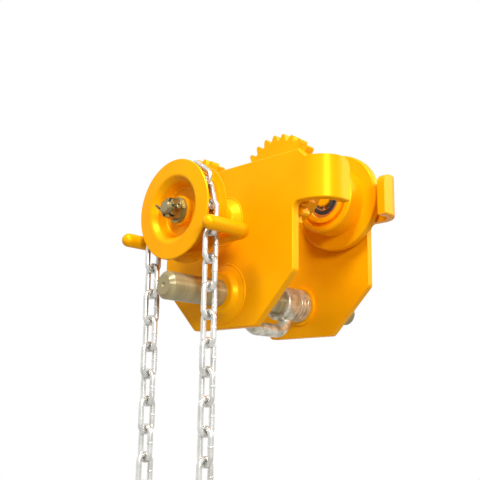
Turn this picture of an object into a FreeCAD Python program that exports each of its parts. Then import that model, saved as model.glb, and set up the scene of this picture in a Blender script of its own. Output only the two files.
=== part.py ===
# Geared beam trolley: two side plates hung on the lower flange of a beam by four wheels.
# A hand chain turns the chain wheel, whose pinion drives both geared wheels on the front plate.
# Frame: +X along the beam, +Y from the chain wheel to the rear plate, +Z up.
# The origin lies midway between the plates and the axles, on the surface that the wheels run on.
import FreeCAD, Part
import math
import os
import re
import Sketcher
from FreeCAD import Placement, Rotation, Vector

doc = FreeCAD.newDocument("geared_beam_trolley")

# Driving dimensions: millimetres, degrees and counts
sizes = {
    # side plates, measured from the running surface or the bar's axis
    "plate_gap": 107, "plate_thickness": 8, "plate_rise": 60, "plate_foot": 33.5, "plate_chamfer": 47,
    "plate_corner": 6, "plate_round": 1.5, "shoulder_run": 9,
    # bent ears that guard the wheels at the ends of each plate
    "ear_clearance": 12, "ear_step": 39, "ear_bend": 24, "ear_lip": 34, "ear_floor": 10.5, "ear_crest": 51,
    "ear_corner": 9,
    # running wheels
    "tread_radius": 36, "tread_width": 20, "tread_taper": 1, "tread_edge": 1.5,
    "flange_height": 14, "flange_round": 2, "rim_wall": 6, "web_recess": 4, "hub_wall": 5,
    # gears
    "gear_module": 3.5, "gear_teeth": 26, "pinion_teeth": 11, "pressure_angle": 25, "mesh_angle": 28.3,
    "addendum_share": 0.8, "dedendum_share": 1, "backlash": 0.3, "gear_width": 10, "gear_gap": 2.5,
    # wheel axles and their ball bearings
    "axle_shank": 10, "axle_collar": 12, "axle_tip": 3, "tip_chamfer": 1,
    "bearing_bore": 8.5, "bearing_radius": 20, "bearing_width": 12, "bearing_recess": 2,
    "inner_shoulder": 12.1, "outer_shoulder": 16.4, "ball_radius": 3.3, "ball_count": 8,
    # retaining rings on the axles and on the drive shaft
    "ring_thickness": 1.1, "ring_depth": 0.6, "ring_wall": 3.2, "ring_opening": 4,
    # load bar, its bosses, lock screws and spacer washers
    "bar_drop": 66.5, "bar_radius": 13, "bar_overhang": 75.5, "bar_chamfer": 4, "mark_radius": 2.5,
    "mark_depth": 2,
    "boss_height": 8, "boss_crown": 19.5, "boss_waist": 23, "boss_foot": 29, "boss_waist_height": 3,
    "boss_round": 3, "collar_height": 3, "collar_radius": 21, "collar_round": 1.5,
    "screw_radius": 3, "screw_bite": 3, "screw_socket": 1.6, "socket_depth": 3,
    "washer_thickness": 5, "washer_radius": 17.5, "washer_count": 3,
    # shackle that hangs on the load bar
    "eye_radius": 18, "eye_width": 20, "eye_round": 3, "bow_radius": 6.8, "bow_depth": 36, "bow_corner": 15,
    # drive shaft, its housing on the front plate and its two flanged bushes
    "shaft_radius": 8, "seat_radius": 7, "thread_radius": 6, "shaft_tip": 3.5,
    "housing_radius": 16, "housing_foot": 24, "housing_length": 36, "housing_flare": 7, "housing_round": 3,
    "bush_wall": 3, "bush_length": 16, "bush_flange": 2, "bush_flange_radius": 14,
    "key_width": 4, "key_sink": 2, "key_length": 9,
    # hand wheel
    "rim_cover": 7.2, "groove_wall": 2.7, "rim_setback": 5.2, "rim_lip": 2.2, "rim_edge": 0.8,
    "lug_cover": 0.6, "dish_lip": 2, "dish_wall": 6, "dish_throat_depth": 5, "dish_round": 4,
    "web_thickness": 5, "hub_radius": 14, "hub_length": 21.5, "hub_rise": 5.3,
    "nut_flats": 18, "nut_height": 12, "nut_bevel_share": 0.75, "nut_slot": 3, "nut_slot_depth": 4.5,
    "nut_washer": 2.5, "nut_washer_radius": 12,
    "cotter_radius": 1.2, "cotter_eye": 2.3, "cotter_reach": 12, "cotter_tail": 7, "cotter_bend": 60,
    # hand chain
    "wire_radius": 2.5, "link_length": 25, "link_width": 8, "chain_play": 0.15, "pocket_count": 5,
    "run_links": 10, "pocket_side": 0.8, "pocket_floor": 1, "slot_side": 0.6,
    # chain guide: a bent rod under the shaft housing, with an arm outside each run of the chain
    "guide_radius": 6.6, "guide_clearance": 1, "guide_length": 80, "guide_setback": 26.6, "guide_bend": 12,
    # fits
    "running_clearance": 0.05, "seat_clearance": 0.01, "body_clearance": 0.3, "overrun": 5,
}

# Dimensions that follow from the driving ones
follows = {
    "inner_face": "plate_gap / 2",
    "outer_face": "inner_face + plate_thickness",
    "plate_bottom": "bar_drop + plate_foot",
    # places along a wheel axle, from the outer face of its plate inwards
    "gear_start": "plate_thickness + gear_gap",
    "gear_end": "gear_start + gear_width",
    "wheel_end": "gear_end + tread_width",
    "bearing_end": "wheel_end - bearing_recess",
    "bearing_start": "bearing_end - bearing_width",
    "ball_plane": "(bearing_start + bearing_end) / 2",
    "ball_circle": "(bearing_bore + bearing_radius) / 2",
    "axle_end": "bearing_end + ring_thickness + axle_tip",
    # gear pair
    "gear_pitch": "gear_module * gear_teeth / 2",
    "pinion_pitch": "gear_module * pinion_teeth / 2",
    "gear_root": "gear_pitch - dedendum_share * gear_module",
    "axle_reach": "(gear_pitch + pinion_pitch) * cos(mesh_angle)",
    "axle_drop": "(gear_pitch + pinion_pitch) * sin(mesh_angle)",
    "shaft_height": "tread_radius - axle_drop",
    # the ears clear the wheels' flanges
    "flange_radius": "tread_radius + flange_height",
    "ear_reach": "axle_reach + flange_radius + ear_clearance + plate_thickness",
    "plate_half_width": "ear_reach - ear_step",
    # chain: a flat link turns about the end bends of the upright links beside it
    "flat_half": "(link_length + link_width) / 2 - chain_play",
    "upright_half": "(link_length - link_width) / 2",
    "pocket_angle": "180 / pocket_count",
    "chain_circle": "sqrt(flat_half ^ 2 + upright_half ^ 2"
                    " + 2 * flat_half * upright_half * cos(pocket_angle)) / sin(pocket_angle)",
    "flat_height": "sqrt(chain_circle ^ 2 - flat_half ^ 2)",
    "upright_height": "sqrt(chain_circle ^ 2 - upright_half ^ 2)",
    "link_bend": "link_width / 2 + wire_radius",
    "pocket_half_width": "link_bend + wire_radius + pocket_side",
    "slot_half_width": "wire_radius + slot_side",
    "slot_floor": "upright_height - link_bend - wire_radius - pocket_side",
    "rim_width": "2 * (pocket_half_width + groove_wall)",
    # places along the drive shaft, from the mid-plane forwards
    "bush_radius": "shaft_radius + running_clearance + bush_wall",
    "housing_front": "outer_face + housing_length",
    "hub_back": "housing_front + bush_flange + body_clearance",
    "hub_front": "hub_back + hub_length",
    "rim_back": "hub_back + rim_setback",
    "rim_front": "rim_back + rim_width",
    "web_front": "rim_front - hub_front + hub_rise",
    "chain_plane": "rim_back + rim_width / 2",
    "nut_back": "hub_front + nut_washer",
    "nut_front": "nut_back + nut_height",
    "shaft_front": "nut_front + shaft_tip",
    "pinion_back": "outer_face - gear_end",
    "shaft_back": "pinion_back - ring_thickness - body_clearance - tip_chamfer",
    # load bar and what sits on it
    "bar_half": "outer_face + bar_overhang",
    "bar_bore": "bar_radius + running_clearance",
    "collar_face": "inner_face - collar_height",
    "shackle_half": "collar_face - washer_count * washer_thickness - body_clearance",
    "bow_reach": "shackle_half - bow_radius",
    # hand wheel's rim and dish, round the chain
    "rim_radius": "chain_circle + rim_cover",
    "lug_radius": "chain_circle + lug_cover",
    "dish_radius": "slot_floor + dish_lip",
    "dish_throat": "slot_floor - dish_wall / 2",
    "dish_floor": "slot_floor - dish_wall",
    # chain guide, clear of the chain and against the housing
    "guide_reach": "chain_circle + link_bend + wire_radius + guide_clearance + guide_radius",
    "guide_height": "shaft_height - housing_radius - guide_radius - seat_clearance",
}

sheet = doc.addObject("Spreadsheet::Sheet", "sizes")
cells = [(name, str(number)) for name, number in sizes.items()]
cells += [(name, "=" + formula) for name, formula in follows.items()]
for row, (name, content) in enumerate(cells, start=1):
    sheet.set("A%d" % row, name)
    sheet.set("B%d" % row, content)
    sheet.setAlias("B%d" % row, name)
doc.recompute()

alongY = Rotation(Vector(1, 0, 0), -90)     # turns a primitive's axis from Z to Y
alongX = Rotation(Vector(0, 1, 0), 90)      # and from Z to X
halfTurn = Rotation(Vector(0, 0, 1), 180)   # faces a piece of the front plate towards the rear plate
noTurn = Rotation()
sheetNames = set(sizes) | set(follows)
nodes = {}


def value(formula):
    return float(sheet.evalExpression(formula))


# Formula with the sheet's name before each of its values
def linked(formula):
    def full(word):
        return "sizes." + word.group() if word.group() in sheetNames else word.group()

    return re.sub(r"[a-z]\w*", full, formula)


def keep(label, piece):
    piece.Label = label
    nodes[label] = piece
    return piece


def bind(piece, **formulas):
    for name, formula in formulas.items():
        piece.setExpression(name, linked(formula))
    return piece


def put(piece, x="0", y="0", z="0", turn=noTurn):
    piece.Placement = Placement(Vector(), turn)
    for axis, formula in zip("xyz", (x, y, z)):
        piece.setExpression("Placement.Base." + axis, linked(formula))
    return piece


# Sketch whose corners are bound, one by one, to formulas of the sheet
def outline(body, role, points):
    sketch = body.newObject("Sketcher::SketchObject", "outline")
    plane = [feature for feature in body.Origin.OriginFeatures if feature.Role == role][0]
    sketch.AttachmentSupport = [(plane, "")]
    sketch.MapMode = "FlatFace"
    corners = [Vector(value(across), value(up), 0) for across, up in points]
    for index, corner in enumerate(corners):
        sketch.addGeometry(Part.LineSegment(corner, corners[(index + 1) % len(corners)]))
    for index, (point, corner) in enumerate(zip(points, corners)):
        sketch.addConstraint(Sketcher.Constraint("Coincident", index, 2, (index + 1) % len(corners), 1))
        for kind, formula, start in zip(("DistanceX", "DistanceY"), point, corner):
            number = sketch.addConstraint(Sketcher.Constraint(kind, -1, 1, index, 1, start))
            sketch.setExpression("Constraints[%d]" % number, linked(formula))
    return sketch


# Turned piece: a profile of (radius, place along Y) revolved about Y, with some of its edges rounded
def turned(name, profile, rounds=()):
    body = doc.addObject("PartDesign::Body", name)
    revolution = body.newObject("PartDesign::Revolution", "turning")
    sketch = outline(body, "XY_Plane", profile)
    revolution.Profile = sketch
    revolution.ReferenceAxis = (sketch, ["V_Axis"])
    revolution.Angle = 360
    body.Tip = revolution
    doc.recompute()
    for corner, radius in rounds:
        reach, level = [value(formula) for formula in profile[corner]]
        edges = [number for number, edge in enumerate(body.Shape.Edges, start=1)
                 if isinstance(edge.Curve, Part.Circle)
                 and math.isclose(edge.Curve.Radius, reach, rel_tol=1e-6)
                 and math.isclose(edge.Curve.Center.y, level, rel_tol=1e-6, abs_tol=1e-6)]
        previous = body.Tip
        fillet = body.newObject("PartDesign::Fillet", "round")
        fillet.Base = (previous, ["Edge%d" % number for number in edges])
        bind(fillet, Radius=radius)
        body.Tip = fillet
        doc.recompute()
    return body


# Plate cut to an outline in the given plane
def padded(name, role, points, length, midplane=False):
    body = doc.addObject("PartDesign::Body", name)
    pad = body.newObject("PartDesign::Pad", "pad")
    pad.Profile = outline(body, role, points)
    pad.Midplane = midplane
    bind(pad, Length=length)
    body.Tip = pad
    doc.recompute()
    return body


def rod(name, radius, length, x="0", y="0", z="0", turn=alongY):
    cylinder = doc.addObject("Part::Cylinder", name)
    return put(bind(cylinder, Radius=radius, Height=length), x, y, z, turn)


def block(name, length, width, height, x="0", y="0", z="0"):
    box = doc.addObject("Part::Box", name)
    return put(bind(box, Length=length, Width=width, Height=height), x, y, z)


def joined(name, *pieces):
    union = doc.addObject("Part::MultiFuse", name)
    union.Shapes = list(pieces)
    return union


def drilled(name, base, *tools):
    cut = doc.addObject("Part::Cut", name)
    cut.Base = base
    cut.Tool = tools[0] if len(tools) == 1 else joined(name + "_tools", *tools)
    return cut


def rounded(name, base, edges, radius):
    doc.recompute()
    fillet = doc.addObject("Part::Fillet", name)
    fillet.Base = base
    size = value(radius)
    numbers = [number for number, edge in enumerate(base.Shape.Edges, start=1) if edges(edge)]
    fillet.Edges = [(number, size, size) for number in numbers]
    return fillet


# Separate solids kept together in one piece
def grouped(name, *pieces):
    doc.recompute()
    group = doc.addObject("Part::Feature", name)
    group.Shape = Part.makeCompound([piece.Shape.Solids[0] for piece in pieces])
    return group


# Solids placed from one pattern, kept together in one piece
def copies(name, pattern, places):
    doc.recompute()
    group = doc.addObject("Part::Feature", name)
    solids = []
    for place in places:
        solid = pattern.Shape.Solids[0].copy()
        solid.Placement = place.multiply(solid.Placement)
        solids.append(solid)
    group.Shape = Part.makeCompound(solids)
    return group


# Round rod bent into a U: two arms along one direction, and a back across their ends
def bent_rod(name, across, along, reach, depth, corner, radius):
    side, deep, bend = value(reach), value(depth), value(corner)
    turn = bend - bend * math.sqrt(0.5)
    places = [(side, 0), (side, deep - bend), (side - turn, deep - turn), (side - bend, deep)]
    right = [across * out + along * down for out, down in places]
    left = [along * down - across * out for out, down in places]
    spine = Part.Wire([
        Part.LineSegment(right[0], right[1]).toShape(), Part.Arc(*right[1:]).toShape(),
        Part.LineSegment(right[3], left[3]).toShape(), Part.Arc(*reversed(left[1:])).toShape(),
        Part.LineSegment(left[1], left[0]).toShape()])
    section = Part.Wire(Part.Circle(right[0], along, value(radius)).toShape())
    bent = doc.addObject("Part::Feature", name)
    bent.Shape = spine.makePipeShell([section], True, False)
    return bent


def runs_along(edge, direction):
    if not isinstance(edge.Curve, Part.Line):
        return False
    return edge.tangentAt(edge.FirstParameter).cross(direction).Length < 1e-6


# Side plates with bent ears

def plate_blank():
    half = [("ear_reach", "-outer_face"), ("ear_reach", "ear_lip - outer_face"),
            ("ear_reach - plate_thickness", "ear_lip - outer_face"),
            ("ear_reach - plate_thickness", "-inner_face")]
    plan = half + [("-(%s)" % across, up) for across, up in reversed(half)]
    strip = padded("plate_strip", "XY_Plane", plan, "2 * plate_bottom + overrun", midplane=True)
    upright = Vector(0, 0, 1)
    for radius, depth in (("ear_bend", "outer_face"), ("ear_bend - plate_thickness", "inner_face")):
        level = -value(depth)
        strip = rounded("plate_bend", strip, lambda edge: runs_along(edge, upright)
                        and math.isclose(edge.BoundBox.YMin, level, abs_tol=1e-6), radius)
    right = [("plate_half_width - plate_chamfer", "-plate_bottom"),
             ("plate_half_width", "plate_chamfer - plate_bottom"), ("plate_half_width", "ear_floor"),
             ("ear_reach + overrun", "ear_floor"), ("ear_reach + overrun", "ear_crest"),
             ("ear_reach - ear_bend", "ear_crest"),
             ("ear_reach - ear_bend - shoulder_run", "plate_rise")]
    front = right + [("-(%s)" % across, up) for across, up in reversed(right)]
    face = padded("plate_face", "XZ_Plane", front, "2 * outer_face + overrun", midplane=True)
    blank = doc.addObject("Part::Common", "plate_blank")
    blank.Base = strip
    blank.Tool = face
    inwards = Vector(0, 1, 0)
    blank = rounded("plate_corners", blank, lambda edge: runs_along(edge, inwards)
                    and abs(edge.BoundBox.XMax) < value("plate_half_width + plate_corner"), "plate_corner")
    lip, crest = value("ear_lip - outer_face"), value("ear_crest")
    outwards = Vector(1, 0, 0)
    blank = rounded("ear_corners", blank, lambda edge: runs_along(edge, outwards)
                    and math.isclose(edge.BoundBox.YMin, lip, abs_tol=1e-6)
                    and math.isclose(edge.BoundBox.ZMin, crest, abs_tol=1e-6), "ear_corner")
    outer = -value("outer_face")
    return rounded("plate_edges", blank, lambda edge: math.isclose(edge.BoundBox.YMin, outer, abs_tol=1e-6)
                   and math.isclose(edge.BoundBox.YMax, outer, abs_tol=1e-6), "plate_round")


def side_plates():
    through = "plate_thickness + 2 * overrun"
    start = "-outer_face - overrun"
    holes = [rod("bar_hole", "bar_bore", through, "0", start, "-bar_drop")]
    for side in ("axle_reach", "-axle_reach"):
        holes.append(rod("axle_hole", "axle_shank + seat_clearance", through, side, start, "tread_radius"))
    blank = drilled("bored_plate", plate_blank(), *holes)
    shaft_hole = rod("shaft_hole", "bush_radius + seat_clearance", through, "0", start, "shaft_height")
    keep("front_side_plate", drilled("front_plate", blank, shaft_hole))
    rear = doc.addObject("Part::Mirroring", "rear_plate")
    rear.Source = blank
    rear.Normal = Vector(0, 1, 0)
    keep("rear_side_plate", rear)


# Load bar, bosses welded round it, lock screws and spacer washers

def load_bar():
    tip = "bar_radius - bar_chamfer"
    bar = turned("bar", [
        ("0", "mark_depth"), ("mark_radius", "0"), (tip, "0"), ("bar_radius", "bar_chamfer"),
        ("bar_radius", "2 * bar_half - bar_chamfer"), (tip, "2 * bar_half"),
        ("mark_radius", "2 * bar_half"), ("0", "2 * bar_half - mark_depth")])
    put(bar, y="-bar_half", z="-bar_drop")
    spots = [lock_screw_space(side, "seat_clearance") for side in ("-1", "1")]
    keep("load_bar", drilled("bar_with_spots", bar, *spots))


# Space of one lock screw, from its point in the bar out through the left of the boss
def lock_screw_space(side, spare):
    length = "boss_waist - bar_radius + screw_bite"
    return rod("screw_space", "screw_radius + " + spare, length, "-boss_waist",
               side + " * (outer_face + boss_height / 2)", "-bar_drop", alongX)


def lock_screws():
    screws = []
    for side in ("-1", "1"):
        place = side + " * (outer_face + boss_height / 2)"
        socket = rod("screw_socket", "screw_socket", "socket_depth", "-boss_waist", place, "-bar_drop",
                     alongX)
        screws.append(drilled("lock_screw", lock_screw_space(side, "0"), socket))
    keep("bar_lock_screws", grouped("lock_screws", *screws))


def bar_bosses():
    outer = turned("outer_boss", [
        ("bar_bore", "0"), ("boss_crown", "0"), ("boss_waist", "boss_height - boss_waist_height"),
        ("boss_foot", "boss_height"), ("bar_bore", "boss_height")], [(1, "boss_round"), (2, "boss_round")])
    collar = turned("inner_collar", [
        ("bar_bore", "0"), ("collar_radius", "0"), ("collar_radius", "collar_height"),
        ("bar_bore", "collar_height")], [(2, "collar_round")])
    put(outer, y="-outer_face - boss_height", z="-bar_drop")
    put(collar, y="-inner_face", z="-bar_drop")
    tapped = drilled("tapped_boss", outer, lock_screw_space("-1", "seat_clearance"))
    front = grouped("front_bosses", tapped, collar)
    rear = doc.addObject("Part::Mirroring", "rear_bosses")
    rear.Source = front
    rear.Normal = Vector(0, 1, 0)
    keep("front_bar_bosses", front)
    keep("rear_bar_bosses", rear)


def spacer_washers():
    washer = turned("spacer_washer", [
        ("bar_bore", "0"), ("washer_radius", "0"), ("washer_radius", "washer_thickness"),
        ("bar_bore", "washer_thickness")], [(1, "collar_round / 2"), (2, "collar_round / 2")])
    drop = -value("bar_drop")
    start = -value("collar_face")
    step = value("washer_thickness")
    count = int(value("washer_count"))
    front = [Placement(Vector(0, start + step * number, drop), noTurn) for number in range(count)]
    turned_round = Placement(Vector(), halfTurn)
    rear = [turned_round.multiply(place) for place in front]
    keep("front_spacer_washers", copies("front_washers", washer, front))
    keep("rear_spacer_washers", copies("rear_washers", washer, rear))


# Shackle: two eyes on the load bar joined by a round bow

def shackle():
    eyes = []
    for start in ("shackle_half - eye_width", "-shackle_half"):
        eye = turned("eye", [("bar_bore", "0"), ("eye_radius", "0"), ("eye_radius", "eye_width"),
                             ("bar_bore", "eye_width")], [(1, "eye_round"), (2, "eye_round")])
        eyes.append(put(eye, y=start, z="-bar_drop"))
    bow = bent_rod("bow", Vector(0, 1, 0), Vector(0, 0, -1), "bow_reach", "bow_depth - bow_radius",
                   "bow_corner", "bow_radius")
    put(bow, z="-bar_drop")
    bore = rod("shackle_bore", "bar_bore", "2 * bar_half", "0", "-bar_half", "-bar_drop")
    keep("shackle", drilled("bored_shackle", joined("shackle_blank", bow, *eyes), bore))


# Running wheels on stub axles, with ball bearings and retaining rings
# Profiles run from the outer face of the plate inwards; the rear ones are turned half round.

corners = {
    "front_left": ("-axle_reach", "-outer_face", noTurn),
    "front_right": ("axle_reach", "-outer_face", noTurn),
    "rear_left": ("-axle_reach", "outer_face", halfTurn),
    "rear_right": ("axle_reach", "outer_face", halfTurn),
}


def wheel_axle(corner, x, y, turn):
    journal = "bearing_bore - seat_clearance"
    groove = "bearing_bore - ring_depth"
    groove_end = "bearing_end + ring_thickness"
    axle = turned(corner + "_axle", [
        ("0", "0"), ("axle_shank", "0"), ("axle_shank", "plate_thickness"),
        ("axle_collar", "plate_thickness"), ("axle_collar", "bearing_start"),
        (journal, "bearing_start"), (journal, "bearing_end"), (groove, "bearing_end"),
        (groove, groove_end), (journal, groove_end), (journal, "axle_end - tip_chamfer"),
        (journal + " - tip_chamfer", "axle_end"), ("0", "axle_end")])
    keep(corner + "_axle", put(axle, x, y, "tread_radius", turn))


def wheel_bearing(corner, x, y, turn):
    inner = turned("inner_ring", [("bearing_bore", "bearing_start"), ("inner_shoulder", "bearing_start"),
                                  ("inner_shoulder", "bearing_end"), ("bearing_bore", "bearing_end")])
    rim = "bearing_radius - seat_clearance"
    outer = turned("outer_ring", [("outer_shoulder", "bearing_start"), (rim, "bearing_start"),
                                  (rim, "bearing_end"), ("outer_shoulder", "bearing_end")])
    race = doc.addObject("Part::Torus", "race")
    bind(race, Radius1="ball_circle", Radius2="ball_radius + running_clearance")
    put(race, y="ball_plane", turn=alongY)
    for ring, label in ((inner, "inner"), (outer, "outer")):
        raced = drilled(label + "_race", ring, race)
        keep("%s_bearing_%s_ring" % (corner, label), put(raced, x, y, "tread_radius", turn))
    ball = bind(doc.addObject("Part::Sphere", "ball"), Radius="ball_radius")
    count = int(value("ball_count"))
    arm = Placement(Vector(value("ball_circle"), value("ball_plane"), 0), noTurn)
    turns = [Rotation(Vector(0, 1, 0), 360 * number / count) for number in range(count)]
    balls = copies("balls", ball, [Placement(Vector(), spoke).multiply(arm) for spoke in turns])
    keep(corner + "_bearing_balls", put(balls, x, y, "tread_radius", turn))


# Open ring that snaps into a groove of the given radius, from the given place along Y
def retaining_ring(groove, place):
    inside = groove + " + running_clearance"
    outside = groove + " + ring_wall"
    far = place + " + ring_thickness - seat_clearance"
    ring = turned("ring", [(inside, place), (outside, place), (outside, far), (inside, far)])
    gap = block("ring_gap", "ring_opening", "2 * ring_thickness", outside, "-ring_opening / 2",
                place + " - ring_thickness / 2", "-(%s)" % outside)
    return drilled("open_ring", ring, gap)


# Section of a wheel: flat behind the plate, recessed between rim and hub, with a seat for the bearing
def wheel_section(flange):
    hub = "bearing_radius + hub_wall"
    rim = "tread_radius - tread_taper - rim_wall"
    return [("axle_collar + hub_wall", "gear_start"), (flange, "gear_start"), (flange, "gear_end"),
            ("tread_radius", "gear_end"),
            ("tread_radius - tread_taper", "wheel_end - tread_edge"),
            ("tread_radius - tread_taper - tread_edge", "wheel_end"), (rim, "wheel_end"),
            (rim, "wheel_end - web_recess"), (hub, "wheel_end - web_recess"), (hub, "wheel_end"),
            ("bearing_radius", "wheel_end"), ("bearing_radius", "bearing_start"),
            ("axle_collar + hub_wall", "bearing_start")]


def plain_wheel(corner, x, y, turn):
    wheel = turned(corner + "_wheel", wheel_section("flange_radius"),
                   [(1, "flange_round"), (2, "flange_round")])
    keep(corner + "_wheel", put(wheel, x, y, "tread_radius", turn))


# Half the angle of a tooth at a radius, on an involute of the given pitch radius
def half_tooth(radius, pitch):
    pressure = math.radians(value("pressure_angle"))
    base = pitch * math.cos(pressure)
    local = math.acos(min(1, base / radius))
    thickness = (math.pi * value("gear_module") - value("backlash")) / 2
    return thickness / pitch / 2 + (math.tan(pressure) - pressure) - (math.tan(local) - local)


# Toothed disc along +Y: involute flanks drawn as arcs, and radial below the base circle
def toothed_disc(teeth, first, width):
    pitch = value("gear_module") * teeth / 2
    tip = pitch + value("addendum_share * gear_module")
    root = pitch - value("dedendum_share * gear_module")
    start = max(root, pitch * math.cos(math.radians(value("pressure_angle"))))
    middle = (start + tip) / 2
    step = 2 * math.pi / teeth

    def at(radius, angle):
        return Vector(radius * math.cos(angle), 0, radius * math.sin(angle))

    edges = []
    for number in range(teeth):
        centre = math.radians(first) + step * number
        flank = [(radius, half_tooth(radius, pitch)) for radius in (start, middle, tip)]
        lower = [at(radius, centre - half) for radius, half in flank]
        upper = [at(radius, centre + half) for radius, half in flank]
        foot = half_tooth(start, pitch)
        feet = [at(root, centre - foot), at(root, centre + foot)]
        edges.append(Part.Arc(*lower).toShape())
        edges.append(Part.Arc(lower[2], at(tip, centre), upper[2]).toShape())
        edges.append(Part.Arc(*reversed(upper)).toShape())
        if start > root:
            edges.insert(-3, Part.LineSegment(feet[0], lower[0]).toShape())
            edges.append(Part.LineSegment(upper[0], feet[1]).toShape())
        gap = at(root, centre + step / 2), at(root, centre + step - foot)
        edges.append(Part.Arc(feet[1], *gap).toShape())
    disc = doc.addObject("Part::Feature", "toothed_disc")
    disc.Shape = Part.Face(Part.Wire(edges)).extrude(Vector(0, width, 0))
    return disc


# Angle of the gear's first tooth, so that a gap meets the pinion tooth nearest the line of centres
def mesh_phase():
    line = value("mesh_angle")
    gear, pinion = value("gear_teeth"), value("pinion_teeth")
    behind = (line - 90) % (360 / pinion)
    return line + 180 + behind * pinion / gear + 180 / gear


def geared_wheel(corner, x, y, turn):
    first = mesh_phase() if corner == "front_right" else 180 - mesh_phase()
    teeth = put(toothed_disc(int(value("gear_teeth")), first, value("gear_width")), y="gear_start")
    core = rod("gear_core", "tread_radius - rim_wall / 2", "gear_width", y="gear_start")
    ring = drilled("tooth_ring", teeth, core)
    body = turned(corner + "_body", wheel_section("gear_root - rim_wall / 2"))
    keep(corner + "_wheel", put(joined("geared_wheel", body, ring), x, y, "tread_radius", turn))


def running_wheels():
    for corner, (x, y, turn) in corners.items():
        wheel_axle(corner, x, y, turn)
        wheel_bearing(corner, x, y, turn)
        ring = retaining_ring("bearing_bore - ring_depth", "bearing_end")
        keep(corner + "_retaining_ring", put(ring, x, y, "tread_radius", turn))
        if corner.startswith("front"):
            geared_wheel(corner, x, y, turn)
        else:
            plain_wheel(corner, x, y, turn)


# Drive shaft with its housing, bushes, pinion and keys

def shaft_housing():
    bore = "bush_radius + seat_clearance"
    flare = "housing_length - housing_flare"
    housing = turned("housing", [(bore, "0"), ("housing_radius", "0"), ("housing_radius", flare),
                                 ("housing_foot", "housing_length"), (bore, "housing_length")],
                     [(1, "housing_round / 2"), (2, "housing_round")])
    keep("shaft_housing", put(housing, y="-housing_front", z="shaft_height"))


def shaft_bushes():
    bore = "shaft_radius + running_clearance"
    bush = turned("bush", [
        (bore, "0"), ("bush_flange_radius", "0"), ("bush_flange_radius", "bush_flange"),
        ("bush_radius", "bush_flange"), ("bush_radius", "bush_flange + bush_length"),
        (bore, "bush_flange + bush_length")])
    height = value("shaft_height")
    front = Placement(Vector(0, -value("housing_front + bush_flange"), height), noTurn)
    back = Placement(Vector(0, value("bush_flange - inner_face"), height), halfTurn)
    keep("shaft_bushes", copies("bushes", bush, [front, back]))


# Space of a key on top of the shaft, from a place along Y
def key_space(radius, place, spare):
    wider = " + 2 * " + spare
    return block("key_space", "key_width" + wider, "key_length" + wider, "2 * key_sink" + wider,
                 "-key_width / 2 - " + spare, place + " - " + spare,
                 "shaft_height + %s - key_sink - %s" % (radius, spare))


keys = {
    "hub_key": ("seat_radius", "-hub_back - hub_length / 2 - key_length / 2"),
    "pinion_key": ("shaft_radius", "-outer_face + gear_start + (gear_width - key_length) / 2"),
}


def drive_shaft():
    groove = "shaft_radius - ring_depth"
    ring = "shaft_front - pinion_back + seat_clearance"
    end = "shaft_front - shaft_back"
    shoulder = "shaft_front - hub_back"
    thread = "shaft_front - nut_back"
    tip = "thread_radius - tip_chamfer"
    shaft = turned("shaft", [
        ("0", "0"), (tip, "0"), ("thread_radius", "tip_chamfer"), ("thread_radius", thread),
        ("seat_radius", thread), ("seat_radius", shoulder), ("shaft_radius", shoulder),
        ("shaft_radius", ring), (groove, ring), (groove, ring + " + ring_thickness"),
        ("shaft_radius", ring + " + ring_thickness"), ("shaft_radius", end + " - tip_chamfer / 2"),
        ("shaft_radius - tip_chamfer / 2", end), ("0", end)])
    put(shaft, y="-shaft_front", z="shaft_height")
    tools = [key_space(radius, place, "seat_clearance") for radius, place in keys.values()]
    tools.append(rod("cotter_hole", "cotter_radius + running_clearance", "4 * thread_radius",
                     "-2 * thread_radius", "-nut_front + nut_slot_depth / 2", "shaft_height", alongX))
    keep("drive_shaft", drilled("keyed_shaft", shaft, *tools))
    for label, (radius, place) in keys.items():
        keep(label, key_space(radius, place, "0"))
    snap = retaining_ring(groove, ring)
    keep("pinion_retaining_ring", put(snap, y="-shaft_front", z="shaft_height"))


def pinion():
    disc = toothed_disc(int(value("pinion_teeth")), 90, value("gear_width"))
    put(disc, y="gear_start - outer_face", z="shaft_height")
    bore = rod("pinion_bore", "shaft_radius + seat_clearance", "gear_width + 2 * overrun", "0",
               "gear_start - outer_face - overrun", "shaft_height")
    radius, place = keys["pinion_key"]
    slot = block("pinion_keyway", "key_width + 2 * seat_clearance", "gear_width + 2 * overrun",
                 "2 * key_sink", "-key_width / 2 - seat_clearance", "gear_start - outer_face - overrun",
                 "shaft_height + %s - key_sink + seat_clearance" % radius)
    keep("pinion", drilled("keyed_pinion", disc, bore, slot))


# Hand wheel with pockets for the flat links and a slot for the upright ones

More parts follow.
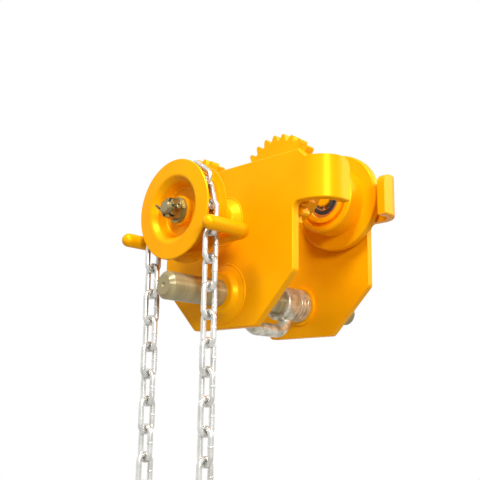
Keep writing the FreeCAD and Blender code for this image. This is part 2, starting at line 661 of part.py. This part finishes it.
def hand_wheel():
    front_wall = "rim_width / 2 - pocket_half_width"
    back_wall = "rim_width / 2 + pocket_half_width"
    slot_front = "rim_width / 2 - slot_half_width"
    slot_back = "rim_width / 2 + slot_half_width"
    hub_face = "rim_front - hub_front"
    hub_end = "rim_front - hub_back"
    web_back = "web_front + web_thickness"
    edge = "rim_radius - rim_edge"
    wheel = turned("wheel", [
        ("seat_radius + seat_clearance", hub_face), ("hub_radius", hub_face), ("hub_radius", "web_front"),
        ("dish_floor", "web_front"), ("dish_throat", "dish_throat_depth"), ("dish_radius", "0"),
        (edge, "rim_edge"), ("rim_radius", "2 * rim_edge"), ("rim_radius", "rim_lip"),
        ("lug_radius", front_wall), ("lug_radius", slot_front), ("slot_floor", slot_front),
        ("slot_floor", slot_back), ("lug_radius", slot_back), ("lug_radius", back_wall),
        ("rim_radius", "rim_width - rim_lip"), ("rim_radius", "rim_width - rim_edge"), (edge, "rim_width"),
        ("dish_radius", "rim_width"), ("dish_throat", web_back), ("hub_radius", web_back),
        ("hub_radius", hub_end),
        ("seat_radius + seat_clearance", hub_end)],
        [(5, "dish_round"), (4, "dish_round"), (3, "dish_round / 2"), (2, "dish_round / 4")])
    pocket = wheel.newObject("PartDesign::Pocket", "pocket")
    slot = wheel.newObject("Sketcher::SketchObject", "pocket_outline")
    plane = [feature for feature in wheel.Origin.OriginFeatures if feature.Role == "XY_Plane"][0]
    slot.AttachmentSupport = [(plane, "")]
    slot.MapMode = "FlatFace"
    slot.setExpression("AttachmentOffset.Base.z", linked("flat_height - wire_radius - pocket_floor"))
    slot.setExpression("AttachmentOffset.Base.y", linked("rim_width / 2"))
    radius, reach = value("pocket_half_width"), value("upright_half")
    quarter = math.pi / 2
    ends = [Part.Circle(Vector(x, 0, 0), Vector(0, 0, 1), radius) for x in (reach, -reach)]
    slot.addGeometry(Part.LineSegment(Vector(-reach, radius, 0), Vector(reach, radius, 0)))
    slot.addGeometry(Part.ArcOfCircle(ends[0], -quarter, quarter))
    slot.addGeometry(Part.LineSegment(Vector(reach, -radius, 0), Vector(-reach, -radius, 0)))
    slot.addGeometry(Part.ArcOfCircle(ends[1], quarter, 3 * quarter))
    for first, first_end, second, second_end in ((0, 2, 1, 2), (1, 1, 2, 1), (2, 2, 3, 2), (3, 1, 0, 1)):
        slot.addConstraint(Sketcher.Constraint("Tangent", first, first_end, second, second_end))
    slot.addConstraint(Sketcher.Constraint("PointOnObject", 1, 3, -1))
    slot.addConstraint(Sketcher.Constraint("PointOnObject", 3, 3, -1))
    for kind, target, formula in (("Radius", (1,), "pocket_half_width"),
                                  ("DistanceX", (-1, 1, 1, 3), "upright_half"),
                                  ("DistanceX", (3, 3, -1, 1), "upright_half")):
        number = slot.addConstraint(Sketcher.Constraint(kind, *target, value(formula)))
        slot.setExpression("Constraints[%d]" % number, linked(formula))
    pocket.Profile = slot
    pocket.Reversed = True
    bind(pocket, Length="rim_radius")
    pattern = wheel.newObject("PartDesign::PolarPattern", "pockets")
    pattern.Originals = [pocket]
    axle = [axis for axis in wheel.Origin.OriginFeatures if axis.Role == "Y_Axis"][0]
    pattern.Axis = (axle, [""])
    pattern.Angle = 360
    bind(pattern, Occurrences="pocket_count")
    wheel.Tip = pattern
    put(wheel, y="-rim_front", z="shaft_height")
    radius, place = keys["hub_key"]
    keyway = block("hub_keyway", "key_width + 2 * seat_clearance", "hub_length + 2 * overrun", "2 * key_sink",
                   "-key_width / 2 - seat_clearance", "-hub_front - overrun",
                   "shaft_height + %s - key_sink + seat_clearance" % radius)
    keep("hand_wheel", drilled("keyed_wheel", wheel, keyway))


def wheel_nut():
    washer = turned("nut_washer", [("seat_radius", "0"), ("nut_washer_radius", "0"),
                                   ("nut_washer_radius", "nut_washer"), ("seat_radius", "nut_washer")])
    keep("hub_washer", put(washer, y="-nut_back", z="shaft_height"))
    hexagon = doc.addObject("Part::Prism", "hexagon")
    hexagon.Polygon = 6
    bind(hexagon, Circumradius="nut_flats / sqrt(3)", Height="nut_height")
    put(hexagon, y="-nut_front", z="shaft_height", turn=alongY)
    wide = "nut_flats * nut_bevel_share"
    bevel = turned("nut_bevel", [("0", "0"), ("nut_flats / 2", "0"), (wide, "nut_height / 2"),
                                 (wide, "nut_height"), ("0", "nut_height")])
    put(bevel, y="-nut_front", z="shaft_height")
    crown = doc.addObject("Part::Common", "nut_crown")
    crown.Base = hexagon
    crown.Tool = bevel
    tools = [rod("nut_bore", "thread_radius + running_clearance", "nut_height + 2 * overrun", "0",
                 "-nut_front - overrun", "shaft_height")]
    half, past, width = value("nut_flats"), value("overrun"), value("nut_slot")
    for number in range(3):
        slot = doc.addObject("Part::Feature", "castle_slot")
        slot.Shape = Part.makeBox(2 * half, value("nut_slot_depth") + past, width,
                                  Vector(-half, -past, -width / 2))
        flats = Rotation(Vector(0, 1, 0), 60 * number)
        tools.append(put(slot, y="-nut_front", z="shaft_height", turn=flats))
    keep("castle_nut", drilled("castellated_nut", crown, *tools))


# Split pin through the nut's slot: a straight leg with an eye at one end and a bent tail at the other
def split_pin():
    level = "-nut_front + nut_slot_depth / 2"
    leg = rod("pin_leg", "cotter_radius", "2 * cotter_reach", "-cotter_reach", level, "shaft_height", alongX)
    eye = doc.addObject("Part::Torus", "pin_eye")
    bind(eye, Radius1="cotter_eye", Radius2="cotter_radius")
    put(eye, "cotter_reach + cotter_eye", level, "shaft_height", alongY)
    knee = bind(doc.addObject("Part::Sphere", "pin_knee"), Radius="cotter_radius")
    put(knee, "-cotter_reach", level, "shaft_height")
    tail = rod("pin_tail", "cotter_radius", "cotter_tail", "-cotter_reach", level, "shaft_height",
               Rotation(Vector(1, 0, 0), value("cotter_bend")))
    keep("split_pin", joined("pin", leg, eye, knee, tail))


# Hand chain

def chain_link():
    ends = []
    for x, angle in (("upright_half", -90), ("-upright_half", 90)):
        bend = doc.addObject("Part::Torus", "link_end")
        bind(bend, Radius1="link_bend", Radius2="wire_radius")
        bend.Angle3 = 180
        ends.append(put(bend, x, turn=Rotation(Vector(0, 0, 1), angle)))
    sides = [rod("link_side", "wire_radius", "2 * upright_half", "-upright_half", y, "0", alongX)
             for y in ("link_bend", "-link_bend")]
    link = joined("link", *ends, *sides)
    doc.recompute()
    return link


# Place of a link from its middle, its direction in the wheel's plane and whether it lies flat
def link_place(x, z, direction, flat):
    upright = noTurn if flat else Rotation(Vector(1, 0, 0), 90)
    turn = Rotation(Vector(0, 1, 0), -direction).multiply(upright)
    return Placement(Vector(x, -value("chain_plane"), z), turn)


def hand_chain():
    link = chain_link()
    radius, height = value("chain_circle"), value("shaft_height")
    step = 2 * value("pocket_angle")
    flat, upright = value("flat_half"), value("upright_half")
    flat_height, upright_height = value("flat_height"), value("upright_height")
    count = int(value("run_links"))

    # Links round an arc of the chain circle, upright and flat ones in turn
    def arc(middle, upright_angles, flat_angles):
        links = []
        rows = (upright_angles, upright_height, False), (flat_angles, flat_height, True)
        for angles, distance, is_flat in rows:
            for angle in angles:
                turn = math.radians(angle)
                across, up = distance * math.cos(turn), distance * math.sin(turn)
                links.append(link_place(across, middle + up, angle + 90, is_flat))
        return links

    over = arc(height, (90 - step / 2, 90 + step / 2), (90 - step, 90, 90 + step))
    last = math.radians(90 - step) - math.asin(flat / radius)
    run_x = radius * math.cos(last)
    top = height + radius * math.sin(last)
    runs = []
    level = top
    for number in range(count):
        is_flat = number % 2 == 1
        half = flat if is_flat else upright
        runs.append((level - half, is_flat))
        level -= 2 * half
    middle = level - radius * math.sin(last)
    bottom = arc(middle, (270 - step, 270, 270 + step), (270 - step / 2, 270 + step / 2))
    over += [link_place(side * run_x, runs[0][0], 90, False) for side in (-1, 1)]
    keep("chain_over_wheel", copies("chain_over", link, over))
    for label, side in (("chain_left_run", -1), ("chain_right_run", 1)):
        places = [link_place(side * run_x, middle_height, 90, is_flat) for middle_height, is_flat in runs[1:]]
        keep(label, copies(label + "_links", link, places))
    keep("chain_bottom_bend", copies("chain_bottom", link, bottom))


# Chain guide: one rod with round tips, welded under the housing, with an arm outside each run of chain

def chain_guide():
    tip = "-outer_face + guide_radius - guide_length"
    bar = bent_rod("guide_bar", Vector(1, 0, 0), Vector(0, 1, 0), "guide_reach",
                   "guide_length - guide_radius - guide_setback", "guide_bend", "guide_radius")
    put(bar, y=tip, z="guide_height")
    ends = []
    for x in ("guide_reach", "-guide_reach"):
        end = bind(doc.addObject("Part::Sphere", "guide_tip"), Radius="guide_radius")
        ends.append(put(end, x, tip, "guide_height"))
    keep("chain_guide", joined("bent_guide", bar, *ends))


side_plates()
load_bar()
bar_bosses()
lock_screws()
spacer_washers()
shackle()
running_wheels()
shaft_housing()
shaft_bushes()
drive_shaft()
pinion()
hand_wheel()
wheel_nut()
split_pin()
hand_chain()
chain_guide()
doc.recompute()

# Every object must have been made, and every sub-part must be a valid solid or group of solids
for made in doc.Objects:
    if "Invalid" in made.State or "Error" in made.State:
        raise RuntimeError("%s (%s) failed: %s" % (made.Name, made.Label, made.State))
for label, piece in nodes.items():
    if piece.Shape.isNull() or not piece.Shape.isValid() or not piece.Shape.Solids:
        raise RuntimeError("%s has no valid solid" % label)

os.makedirs("parts", exist_ok=True)
for label, piece in nodes.items():
    piece.Shape.exportStep("parts/%s.step" % label)
    print(label, len(piece.Shape.Solids), "solids", round(piece.Shape.Volume / 1000, 2), "cm3")
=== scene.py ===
# Geared beam trolley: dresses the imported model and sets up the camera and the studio
import math
import bmesh
import bpy
import numpy
from mathutils import Matrix, Vector


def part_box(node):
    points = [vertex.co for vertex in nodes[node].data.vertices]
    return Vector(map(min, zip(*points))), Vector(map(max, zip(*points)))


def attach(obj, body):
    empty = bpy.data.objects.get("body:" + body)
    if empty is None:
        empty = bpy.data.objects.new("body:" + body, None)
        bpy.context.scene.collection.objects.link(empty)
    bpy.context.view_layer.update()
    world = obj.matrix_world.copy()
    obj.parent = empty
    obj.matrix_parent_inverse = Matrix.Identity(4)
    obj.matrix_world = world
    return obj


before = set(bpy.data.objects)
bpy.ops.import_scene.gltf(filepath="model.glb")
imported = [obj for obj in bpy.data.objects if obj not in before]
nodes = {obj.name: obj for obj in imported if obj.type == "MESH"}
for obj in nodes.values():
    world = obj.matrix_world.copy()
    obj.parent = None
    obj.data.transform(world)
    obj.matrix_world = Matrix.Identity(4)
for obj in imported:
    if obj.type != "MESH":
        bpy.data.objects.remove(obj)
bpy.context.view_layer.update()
mm = 0.001
cornerNames = ["front_left", "front_right", "rear_left", "rear_right"]
print("frame loaded:", len(nodes), "nodes")


# camera

camera = {
    "place": (525.6 * mm, -568.5 * mm, -173.55 * mm),
    "yaw": 44.85, "pitch": 12.43, "roll": 0.99,   # degrees, looking up at the trolley from below
    "lens": 57.12, "sensor": 36, "nearest": 10 * mm,
}


def addCamera(settings):
    yaw, pitch, roll = [math.radians(settings[key]) for key in ("yaw", "pitch", "roll")]
    right = Vector((math.cos(yaw), math.sin(yaw), 0))
    ahead = Vector((-math.sin(yaw) * math.cos(pitch), math.cos(yaw) * math.cos(pitch), math.sin(pitch)))
    up = right.cross(ahead)
    turn = Matrix.Rotation(roll, 3, "Z")
    axes = Matrix((right, up, -ahead)).transposed() @ turn
    data = bpy.data.cameras.new("camera")
    data.lens = settings["lens"]
    data.sensor_width = settings["sensor"]
    data.clip_start = settings["nearest"]
    lookout = bpy.data.objects.new("camera", data)
    lookout.matrix_world = Matrix.Translation(settings["place"]) @ axes.to_4x4()
    bpy.context.scene.collection.objects.link(lookout)
    bpy.context.scene.camera = lookout


addCamera(camera)


# materials

def startMaterial(name, color, metallic, roughness):
    material = bpy.data.materials.new(name)
    material.use_nodes = True
    tree = material.node_tree
    shader = tree.nodes["Principled BSDF"]
    shader.inputs["Base Color"].default_value = (*color, 1)
    shader.inputs["Metallic"].default_value = metallic
    shader.inputs["Roughness"].default_value = roughness
    return material, tree, shader


# Noise on Object coordinates, stretched by scale along each axis
def addNoise(tree, scale, stretch=(1, 1, 1), detail=3):
    place = tree.nodes.new("ShaderNodeTexCoord")
    mapping = tree.nodes.new("ShaderNodeMapping")
    mapping.inputs["Scale"].default_value = stretch
    noise = tree.nodes.new("ShaderNodeTexNoise")
    noise.inputs["Scale"].default_value = scale
    noise.inputs["Detail"].default_value = detail
    tree.links.new(place.outputs["Object"], mapping.inputs["Vector"])
    tree.links.new(mapping.outputs["Vector"], noise.inputs["Vector"])
    return noise


def addRamp(tree, source, stops):
    ramp = tree.nodes.new("ShaderNodeValToRGB")
    while len(ramp.color_ramp.elements) < len(stops):
        ramp.color_ramp.elements.new(0.5)
    for element, (place, color) in zip(ramp.color_ramp.elements, stops):
        element.position = place
        element.color = (*color, 1)
    tree.links.new(source.outputs[0], ramp.inputs["Fac"])
    return ramp


def addBump(tree, shader, height, strength, distance):
    bump = tree.nodes.new("ShaderNodeBump")
    bump.inputs["Strength"].default_value = strength
    bump.inputs["Distance"].default_value = distance
    tree.links.new(height.outputs[0], bump.inputs["Height"])
    tree.links.new(bump.outputs["Normal"], shader.inputs["Normal"])


paint = {
    "light": (0.98, 0.435, 0.001), "deep": (0.95, 0.4, 0.0005),
    "patches": 22, "deepBelow": 0.35, "lightAbove": 0.65,   # broad, faint drift of the colour
    "roughness": 0.37, "mirror": 0.05, "flake": 0.16,   # the gloss keeps the paint's own colour
    "peel": 520, "peelStrength": 0.12, "peelDepth": 0.00012,   # orange peel of sprayed paint
}


def yellowPaint(name, settings):
    material, tree, shader = startMaterial(name, settings["light"], settings["flake"], settings["roughness"])
    shader.inputs["Specular IOR Level"].default_value = settings["mirror"]
    drift = addNoise(tree, settings["patches"])
    stops = [(settings["deepBelow"], settings["deep"]), (settings["lightAbove"], settings["light"])]
    tint = addRamp(tree, drift, stops)
    tree.links.new(tint.outputs["Color"], shader.inputs["Base Color"])
    peel = addNoise(tree, settings["peel"], detail=1)
    addBump(tree, shader, peel, settings["peelStrength"], settings["peelDepth"])
    return material


# Where the metal value is under 1, a thin oxide or oil film dulls the metal.
# Brushed metal has turning marks that run round the Y axis and spread its gloss along it.
steels = {
    "bareSteel": {"light": (0.42, 0.35, 0.18), "dark": (0.24, 0.2, 0.09), "metal": 0.4, "roughness": 0.36,
                  "brushed": 0.9, "streaks": (3, 90, 3), "depth": 0.000003},
    "forgedSteel": {"light": (0.68, 0.66, 0.55), "dark": (0.3, 0.28, 0.19), "metal": 0.5, "roughness": 0.28,
                    "streaks": (120, 120, 120), "depth": 0.00003},
    "zincPlate": {"light": (0.71, 0.705, 0.67), "dark": (0.52, 0.515, 0.48), "metal": 0.8, "roughness": 0.27,
                  "streaks": (90, 90, 90), "depth": 0.00002},
    "yellowZinc": {"light": (0.36, 0.28, 0.1), "dark": (0.16, 0.12, 0.04), "metal": 0.7, "roughness": 0.32,
                   "streaks": (140, 140, 140), "depth": 0.00004},
    "darkSteel": {"light": (0.2, 0.17, 0.11), "dark": (0.09, 0.08, 0.05), "metal": 0.9, "roughness": 0.42,
                  "streaks": (160, 160, 160), "depth": 0.00004},
    "bearingSteel": {"light": (0.8, 0.8, 0.8), "dark": (0.7, 0.7, 0.7), "metal": 1, "roughness": 0.18,
                     "streaks": (40, 900, 40), "depth": 0.00001},
    "bronze": {"light": (0.62, 0.37, 0.13), "dark": (0.45, 0.25, 0.08), "metal": 0.9, "roughness": 0.35,
               "streaks": (30, 500, 30), "depth": 0.00003},
}


steelGrain = {"darkBelow": 0.3, "lightAbove": 0.6, "strength": 0.25}


def metal(name, settings):
    material, tree, shader = startMaterial(name, settings["light"], settings["metal"], settings["roughness"])
    grain = addNoise(tree, 1, settings["streaks"])
    stops = [(steelGrain["darkBelow"], settings["dark"]), (steelGrain["lightAbove"], settings["light"])]
    tint = addRamp(tree, grain, stops)
    tree.links.new(tint.outputs["Color"], shader.inputs["Base Color"])
    addBump(tree, shader, grain, steelGrain["strength"], settings["depth"])
    if "brushed" in settings:
        spread = tree.nodes.new("ShaderNodeCombineXYZ")
        spread.inputs["Y"].default_value = 1
        tree.links.new(spread.outputs["Vector"], shader.inputs["Tangent"])
        shader.inputs["Anisotropic"].default_value = settings["brushed"]
    return material


rubber = {"color": (0.02, 0.02, 0.022), "roughness": 0.55, "grain": 900, "strength": 0.2, "depth": 0.00004}


def sealRubber(settings):
    material, tree, shader = startMaterial("sealRubber", settings["color"], 0, settings["roughness"])
    addBump(tree, shader, addNoise(tree, settings["grain"]), settings["strength"], settings["depth"])
    return material


finishes = {name: metal(name, settings) for name, settings in steels.items()}
finishes["yellowPaint"] = yellowPaint("yellowPaint", paint)
finishes["sealRubber"] = sealRubber(rubber)

# Finish of each CAD node that isn't plain painted metal
nodeFinish = {
    "load_bar": "bareSteel", "drive_shaft": "bareSteel", "pinion": "forgedSteel", "shackle": "forgedSteel",
    "front_spacer_washers": "forgedSteel", "rear_spacer_washers": "forgedSteel", "hub_washer": "yellowZinc",
    "chain_over_wheel": "zincPlate", "chain_left_run": "zincPlate", "chain_right_run": "zincPlate",
    "chain_bottom_bend": "zincPlate", "split_pin": "yellowZinc", "castle_nut": "yellowZinc",
    "bar_lock_screws": "darkSteel", "hub_key": "darkSteel", "pinion_key": "darkSteel",
    "pinion_retaining_ring": "darkSteel", "shaft_bushes": "bronze",
}
for corner in cornerNames:
    nodeFinish[corner + "_retaining_ring"] = "darkSteel"
    for piece in ("inner_ring", "outer_ring", "balls"):
        nodeFinish["%s_bearing_%s" % (corner, piece)] = "bearingSteel"
for name, node in nodes.items():
    node.data.materials.clear()
    node.data.materials.append(finishes[nodeFinish.get(name, "yellowPaint")])
print("finishes on", len(nodes), "nodes")


# scene pieces

sameSpot = 1e-7   # metres between vertices that are one


# Makes an object of a bmesh, smooth and riding on a body of the frame
def addPiece(name, shape, finish, body):
    bmesh.ops.remove_doubles(shape, verts=shape.verts, dist=sameSpot)
    bmesh.ops.recalc_face_normals(shape, faces=shape.faces)
    mesh = bpy.data.meshes.new(name)
    shape.to_mesh(mesh)
    shape.free()
    for face in mesh.polygons:
        face.use_smooth = True
    mesh.materials.append(finishes[finish])
    piece = bpy.data.objects.new(name, mesh)
    bpy.context.scene.collection.objects.link(piece)
    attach(piece, body)
    return piece


# Ring of round section about the Y axis, added to a bmesh
def addRing(shape, middle, radius, thickness, sides, steps):
    section = bmesh.ops.create_circle(shape, segments=sides, radius=thickness,
                                      matrix=Matrix.Translation((middle[0] + radius, middle[1], middle[2])))
    edges = {edge for vertex in section["verts"] for edge in vertex.link_edges}
    bmesh.ops.spin(shape, geom=section["verts"] + list(edges), cent=middle, axis=(0, 1, 0),
                   angle=2 * math.pi, steps=steps, use_merge=True)


# weld beads round the bosses and the housing, and between the housing and the chain guide

weldBead = {
    "section": 0.9 * mm, "ripple": 0.08 * mm, "pitch": 2.6 * mm, "sides": 10, "steps": 160,
    "saddle": (7.5 * mm, 2.1 * mm, 1.8 * mm), "saddleOffset": 5 * mm, "saddleDrop": 1.2 * mm,
    "saddleRounds": 24, "saddleRings": 12,
}


# Rippled bead that fills the corner between a round piece and a plate
def addBead(shape, middle, radius, section, settings):
    before = set(shape.verts)
    addRing(shape, middle, radius, section, settings["sides"], settings["steps"])
    waves = round(2 * math.pi * radius / settings["pitch"])
    for vertex in set(shape.verts) - before:
        across = Vector((vertex.co.x - middle[0], 0, vertex.co.z - middle[2]))
        spine = Vector(middle) + across.normalized() * radius
        ripple = settings["ripple"] * math.cos(waves * math.atan2(across.z, across.x))
        vertex.co += (vertex.co - spine).normalized() * ripple


def boxCentre(name):
    low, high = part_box(name)
    return (low + high) / 2, (high - low) / 2


def weldBeads(settings):
    shape = bmesh.new()
    plateFaces = {"front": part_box("front_side_plate")[0].y, "rear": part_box("rear_side_plate")[1].y}
    for side, face in plateFaces.items():
        middle, half = boxCentre(side + "_bar_bosses")
        addBead(shape, (middle.x, face, middle.z), half.z, settings["section"], settings)
    middle, half = boxCentre("shaft_housing")
    addBead(shape, (middle.x, plateFaces["front"], middle.z), half.z, settings["section"], settings)
    low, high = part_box("chain_guide")
    rodAxis = high.y - (high.z - low.z) / 2
    for side in (-1, 1):
        spot = (middle.x, rodAxis + side * settings["saddleOffset"], high.z - settings["saddleDrop"])
        stretch = Matrix.Diagonal((*settings["saddle"], 1))
        bmesh.ops.create_uvsphere(shape, u_segments=settings["saddleRounds"],
                                  v_segments=settings["saddleRings"], radius=1,
                                  matrix=Matrix.Translation(spot) @ stretch)
    addPiece("weldBeads", shape, "yellowPaint", "frame")


weldBeads(weldBead)
print("weld beads done")


# butt welds of the chain links, a slight swelling in the middle of one side of each link

linkWeld = {
    "radius": 2.85 * mm, "length": 2.4 * mm, "bend": 6.5 * mm, "rounds": 12, "rings": 8,
    "side": Vector((0.1, 0.01, 1)),   # the upper side of a link, or +X or +Y where it hangs upright
}


# Middle and axes (along, across, through) of each link in a CAD node, from the spread of its vertices
def linkFrames(node):
    copy = bmesh.new()
    copy.from_mesh(node.data)
    bmesh.ops.remove_doubles(copy, verts=copy.verts, dist=10 * sameSpot)
    copy.verts.index_update()
    found = set()
    for first in copy.verts:
        if first in found:
            continue
        link = set()
        edge = {first}
        while edge:
            link |= edge
            edge = {end.other_vert(vertex) for vertex in edge for end in vertex.link_edges} - link
        found |= link
        points = numpy.array([vertex.co for vertex in sorted(link, key=lambda vertex: vertex.index)])
        low, high = points.min(0), points.max(0)
        middle = (low + high) / 2
        axes = numpy.linalg.eigh(numpy.cov((points - middle).T))[1]   # from the least spread to the greatest
        yield Vector(middle), [Vector(axes[:, number]) for number in (2, 1, 0)]
    copy.free()


def linkWelds(settings):
    for name in ("chain_over_wheel", "chain_left_run", "chain_right_run", "chain_bottom_bend"):
        shape = bmesh.new()
        for middle, (along, across, through) in linkFrames(nodes[name]):
            if across.dot(settings["side"]) < 0:
                across = -across
            turn = Matrix((across, through, along)).transposed().to_4x4()
            stretch = Matrix.Diagonal((settings["radius"], settings["radius"], settings["length"], 1))
            place = Matrix.Translation(middle + across * settings["bend"])
            bmesh.ops.create_uvsphere(shape, u_segments=settings["rounds"], v_segments=settings["rings"],
                                      radius=1, matrix=place @ turn @ stretch)
        addPiece(name + "_linkWelds", shape, "zincPlate", "frame")


linkWelds(linkWeld)
print("link welds done")


# screw thread on the shaft's end, in front of the nut

endThread = {
    "pitch": 1.5 * mm, "depth": 0.45 * mm, "turns": 2, "steps": 40, "start": 0.4 * mm,
    "nutShare": 2 / 3,   # thread to flats, 12 to 18
}


def shaftThread(settings):
    shape = bmesh.new()
    low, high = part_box("drive_shaft")
    nutLow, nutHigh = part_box("castle_nut")
    axis = (low + high) / 2
    radius = (nutHigh.z - axis.z) * settings["nutShare"]
    root = radius - settings["depth"] / 2
    crest = radius + settings["depth"] / 4
    flank = settings["pitch"] / 2
    start = nutLow.y - settings["start"] - settings["pitch"] * settings["turns"]
    section = [(root, start - flank), (crest, start), (root, start + flank)]
    verts = [shape.verts.new((axis.x + reach, place, axis.z)) for reach, place in section]
    edges = [shape.edges.new((verts[i], verts[(i + 1) % 3])) for i in range(3)]
    steps = settings["steps"] * settings["turns"]
    rise = (0, settings["pitch"] / settings["steps"], 0)
    bmesh.ops.spin(shape, geom=verts + edges, cent=axis, axis=(0, 1, 0), dvec=rise,
                   angle=2 * math.pi * settings["turns"], steps=steps, use_merge=False)
    bmesh.ops.holes_fill(shape, edges=[edge for edge in shape.edges if edge.is_boundary], sides=3)
    addPiece("shaftThread", shape, "bareSteel", "hand_wheel")


shaftThread(endThread)
print("shaft thread done")


# dust seals of the wheel bearings, between the two rings

bearingSeal = {"inner": 12.4 * mm, "outer": 16.2 * mm, "thickness": 0.7 * mm, "inset": 0.5 * mm, "steps": 48}


def bearingSeals(settings):
    for corner in cornerNames:
        shape = bmesh.new()
        middle, half = boxCentre(corner + "_bearing_outer_ring")
        for side in (-1, 1):
            face = middle.y + side * (half.y - settings["inset"])
            far = face - side * settings["thickness"]
            corners = [(settings["inner"], face), (settings["outer"], face), (settings["outer"], far),
                       (settings["inner"], far)]
            verts = [shape.verts.new((middle.x + reach, place, middle.z)) for reach, place in corners]
            edges = [shape.edges.new((verts[i], verts[(i + 1) % 4])) for i in range(4)]
            bmesh.ops.spin(shape, geom=verts + edges, cent=(middle.x, face, middle.z), axis=(0, 1, 0),
                           angle=2 * math.pi, steps=settings["steps"], use_merge=True)
        addPiece(corner + "_bearingSeals", shape, "sealRubber", corner + "_wheel")


bearingSeals(bearingSeal)
print("bearing seals done")


# studio

studio = {
    "floor": -0.9, "floorSize": 5, "floorColor": (0.5, 0.5, 0.5), "floorWhite": 0.9,
    "floorRoughness": 0.9,
    "world": (1, 0.62, 0.4), "worldStrength": 0.18,
    "lamps": {   # place, size, power
        "key": ((1.45, -0.85, 0.4), 0.4, 19),
        "top": ((0.5, -0.95, 1.3), 0.5, 27),
        "fill": ((-1.2, -0.9, 0.2), 1.2, 1),
        "back": ((0.8, 1.1, 0.7), 1.0, 13),
    },
}


# Mixes a share of plain white in for the camera and for what the metal mirrors, and no white for the rest
def whiteBehind(tree, kind, lit, output, share):
    rays = tree.nodes.new("ShaderNodeLightPath")
    seen = rays.outputs["Is Camera Ray"]
    for ray in ("Is Glossy Ray", "Is Transmission Ray"):
        either = tree.nodes.new("ShaderNodeMath")
        either.operation = "MAXIMUM"
        tree.links.new(seen, either.inputs[0])
        tree.links.new(rays.outputs[ray], either.inputs[1])
        seen = either.outputs[0]
    part = tree.nodes.new("ShaderNodeMath")
    part.operation = "MULTIPLY"
    part.inputs[1].default_value = share
    tree.links.new(seen, part.inputs[0])
    white = tree.nodes.new(kind)
    white.inputs["Color"].default_value = (1, 1, 1, 1)
    white.inputs["Strength"].default_value = 1
    mix = tree.nodes.new("ShaderNodeMixShader")
    tree.links.new(part.outputs[0], mix.inputs["Fac"])
    tree.links.new(lit, mix.inputs[1])
    tree.links.new(white.outputs[0], mix.inputs[2])
    tree.links.new(mix.outputs["Shader"], output)


def addStudio(settings):
    scene = bpy.context.scene
    scene.view_settings.view_transform = "Standard"
    world = bpy.data.worlds.new("studio")
    scene.world = world
    world.use_nodes = True
    tree = world.node_tree
    light = tree.nodes["Background"]
    light.inputs["Color"].default_value = (*settings["world"], 1)
    light.inputs["Strength"].default_value = settings["worldStrength"]
    sky = tree.nodes["World Output"].inputs["Surface"]
    whiteBehind(tree, "ShaderNodeBackground", light.outputs["Background"], sky, 1)

    shape = bmesh.new()
    bmesh.ops.create_grid(shape, x_segments=1, y_segments=1, size=settings["floorSize"],
                          matrix=Matrix.Translation((0, 0, settings["floor"])))
    mesh = bpy.data.meshes.new("floor")
    shape.to_mesh(mesh)
    shape.free()
    pale, tree, shader = startMaterial("paleFloor", settings["floorColor"], 0, settings["floorRoughness"])
    ground = tree.nodes["Material Output"].inputs["Surface"]
    whiteBehind(tree, "ShaderNodeEmission", shader.outputs["BSDF"], ground, settings["floorWhite"])
    mesh.materials.append(pale)
    floor = bpy.data.objects.new("floor", mesh)
    scene.collection.objects.link(floor)

    for name, (place, size, power) in settings["lamps"].items():
        data = bpy.data.lights.new(name, "AREA")
        data.size = size
        data.energy = power
        lamp = bpy.data.objects.new(name, data)
        aim = Vector(place).to_track_quat("Z", "Y").to_matrix()
        lamp.matrix_world = Matrix.Translation(place) @ aim.to_4x4()
        scene.collection.objects.link(lamp)


addStudio(studio)
print("studio done")
